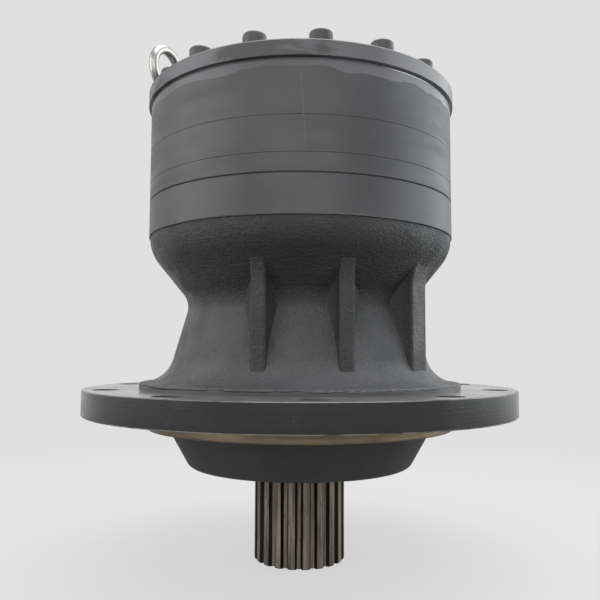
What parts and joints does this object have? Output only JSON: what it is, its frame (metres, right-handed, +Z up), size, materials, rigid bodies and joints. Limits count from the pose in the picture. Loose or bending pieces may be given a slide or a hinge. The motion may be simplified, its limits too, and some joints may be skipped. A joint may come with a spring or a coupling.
{
  "type": "swing gearbox",
  "caption": "Planetary swing gearbox: flanged ribbed housing, ring gear stack, cover plate with motor seat, splined output shaft below.",
  "frame": {"origin": "centre of the mounting flange's lower face, on the shaft axis", "axes": "+Z up the shaft axis towards the motor; -Y is the front, seen in the picture; output spline points to -Z"},
  "size_m": [0.4439, 0.444, 0.538],
  "materials": {
    "charcoal_paint": "satin charcoal paint over cast iron and turned steel, rough where cast",
    "zinc_plate": "bright zinc plating",
    "shaft_steel": "bare hobbed steel with a light oil stain",
    "gear_steel": "hardened and ground",
    "bearing_steel": "ground",
    "carrier_steel": "machined",
    "black_oxide": "black oxide",
    "ground_steel": "ground",
    "bronze": "turned bronze",
    "seal_rubber": "nitrile rubber",
    "thrust_plastic": "natural nylon",
    "soft_aluminium": "plain"
  },
  "bodies": {
    "casing": {"housing": "charcoal_paint", "lower_ring_gear": "charcoal_paint", "upper_ring_gear": "charcoal_paint", "cover": "charcoal_paint", "cover_screws": "charcoal_paint", "locating_dowels": "ground_steel", "eye_bolt": "zinc_plate", "lower_bearing_cup": "bearing_steel", "upper_bearing_cup": "bearing_steel", "bearing_retainer": "carrier_steel", "retainer_shim": "ground_steel", "retainer_screws": "black_oxide", "oil_seal": "seal_rubber", "drain_plug": "black_oxide", "drain_washer": "soft_aluminium"},
    "output": {"output_shaft": "shaft_steel", "lower_bearing_cone": "bearing_steel", "upper_bearing_cone": "bearing_steel", "shaft_end_plate": "carrier_steel", "end_plate_screws": "black_oxide", "second_carrier": "carrier_steel", "second_planet_pins": "ground_steel", "second_pin_locks": "black_oxide", "second_thrust_washers": "bronze", "second_sun_thrust_pad": "thrust_plastic"},
    "lower_roller_set": {"lower_bearing_rollers": "bearing_steel", "lower_bearing_cage": "bearing_steel"},
    "upper_roller_set": {"upper_bearing_rollers": "bearing_steel", "upper_bearing_cage": "bearing_steel"},
    "first_carrier_set": {"second_sun_gear": "gear_steel", "sun_snap_ring": "black_oxide", "first_carrier": "carrier_steel", "first_planet_pins": "ground_steel", "first_pin_circlips": "black_oxide", "first_thrust_washers": "bronze"},
    "input_sun": {"input_sun_gear": "gear_steel", "input_sun_thrust_pad": "thrust_plastic"},
    "second_planet_1": {"second_planet_1": "gear_steel", "second_planet_bush_1": "bronze"},
    "second_planet_2": {"second_planet_2": "gear_steel", "second_planet_bush_2": "bronze"},
    "second_planet_3": {"second_planet_3": "gear_steel", "second_planet_bush_3": "bronze"},
    "second_planet_4": {"second_planet_4": "gear_steel", "second_planet_bush_4": "bronze"},
    "first_planet_1": {"first_planet_1": "gear_steel", "first_planet_bush_1": "bronze"},
    "first_planet_2": {"first_planet_2": "gear_steel", "first_planet_bush_2": "bronze"},
    "first_planet_3": {"first_planet_3": "gear_steel", "first_planet_bush_3": "bronze"}
  },
  "joints": [
    {"name": "output_spin", "type": "hinge", "parent": "casing", "child": "output", "pos_m": [0, 0, 0], "axis": [0, 0, 1], "continuous": true},
    {"name": "lower_roller_orbit", "type": "hinge", "parent": "casing", "child": "lower_roller_set", "pos_m": [0, 0, 0], "axis": [0, 0, 1], "continuous": true},
    {"name": "upper_roller_orbit", "type": "hinge", "parent": "casing", "child": "upper_roller_set", "pos_m": [0, 0, 0.132], "axis": [0, 0, 1], "continuous": true},
    {"name": "first_carrier_spin", "type": "hinge", "parent": "casing", "child": "first_carrier_set", "pos_m": [0, 0, 0.2776], "axis": [0, 0, 1], "continuous": true},
    {"name": "input_spin", "type": "hinge", "parent": "casing", "child": "input_sun", "pos_m": [0, 0, 0.3], "axis": [0, 0, 1], "continuous": true},
    {"name": "second_planet_1_spin", "type": "hinge", "parent": "output", "child": "second_planet_1", "pos_m": [0, -0.08, 0.238], "axis": [0, 0, 1], "continuous": true},
    {"name": "second_planet_2_spin", "type": "hinge", "parent": "output", "child": "second_planet_2", "pos_m": [0.08, 0, 0.238], "axis": [0, 0, 1], "continuous": true},
    {"name": "second_planet_3_spin", "type": "hinge", "parent": "output", "child": "second_planet_3", "pos_m": [0, 0.08, 0.238], "axis": [0, 0, 1], "continuous": true},
    {"name": "second_planet_4_spin", "type": "hinge", "parent": "output", "child": "second_planet_4", "pos_m": [-0.08, 0, 0.238], "axis": [0, 0, 1], "continuous": true},
    {"name": "first_planet_1_spin", "type": "hinge", "parent": "first_carrier_set", "child": "first_planet_1", "pos_m": [0.0825, 0, 0.298], "axis": [0, 0, 1], "continuous": true},
    {"name": "first_planet_2_spin", "type": "hinge", "parent": "first_carrier_set", "child": "first_planet_2", "pos_m": [-0.04125, 0.07145, 0.298], "axis": [0, 0, 1], "continuous": true},
    {"name": "first_planet_3_spin", "type": "hinge", "parent": "first_carrier_set", "child": "first_planet_3", "pos_m": [-0.04125, -0.07145, 0.298], "axis": [0, 0, 1], "continuous": true}
  ],
  "couplings": [
    {"joint": "lower_roller_orbit", "follows": "output_spin", "ratio": 0.42783},
    {"joint": "upper_roller_orbit", "follows": "output_spin", "ratio": 0.42783},
    {"joint": "first_carrier_spin", "follows": "output_spin", "ratio": 4.2667},
    {"joint": "input_spin", "follows": "output_spin", "ratio": 16.565},
    {"joint": "second_planet_1_spin", "follows": "output_spin", "ratio": -2.8824},
    {"joint": "second_planet_2_spin", "follows": "output_spin", "ratio": -2.8824},
    {"joint": "second_planet_3_spin", "follows": "output_spin", "ratio": -2.8824},
    {"joint": "second_planet_4_spin", "follows": "output_spin", "ratio": -2.8824},
    {"joint": "first_planet_1_spin", "follows": "output_spin", "ratio": -13.067},
    {"joint": "first_planet_2_spin", "follows": "output_spin", "ratio": -13.067},
    {"joint": "first_planet_3_spin", "follows": "output_spin", "ratio": -13.067}
  ]
}
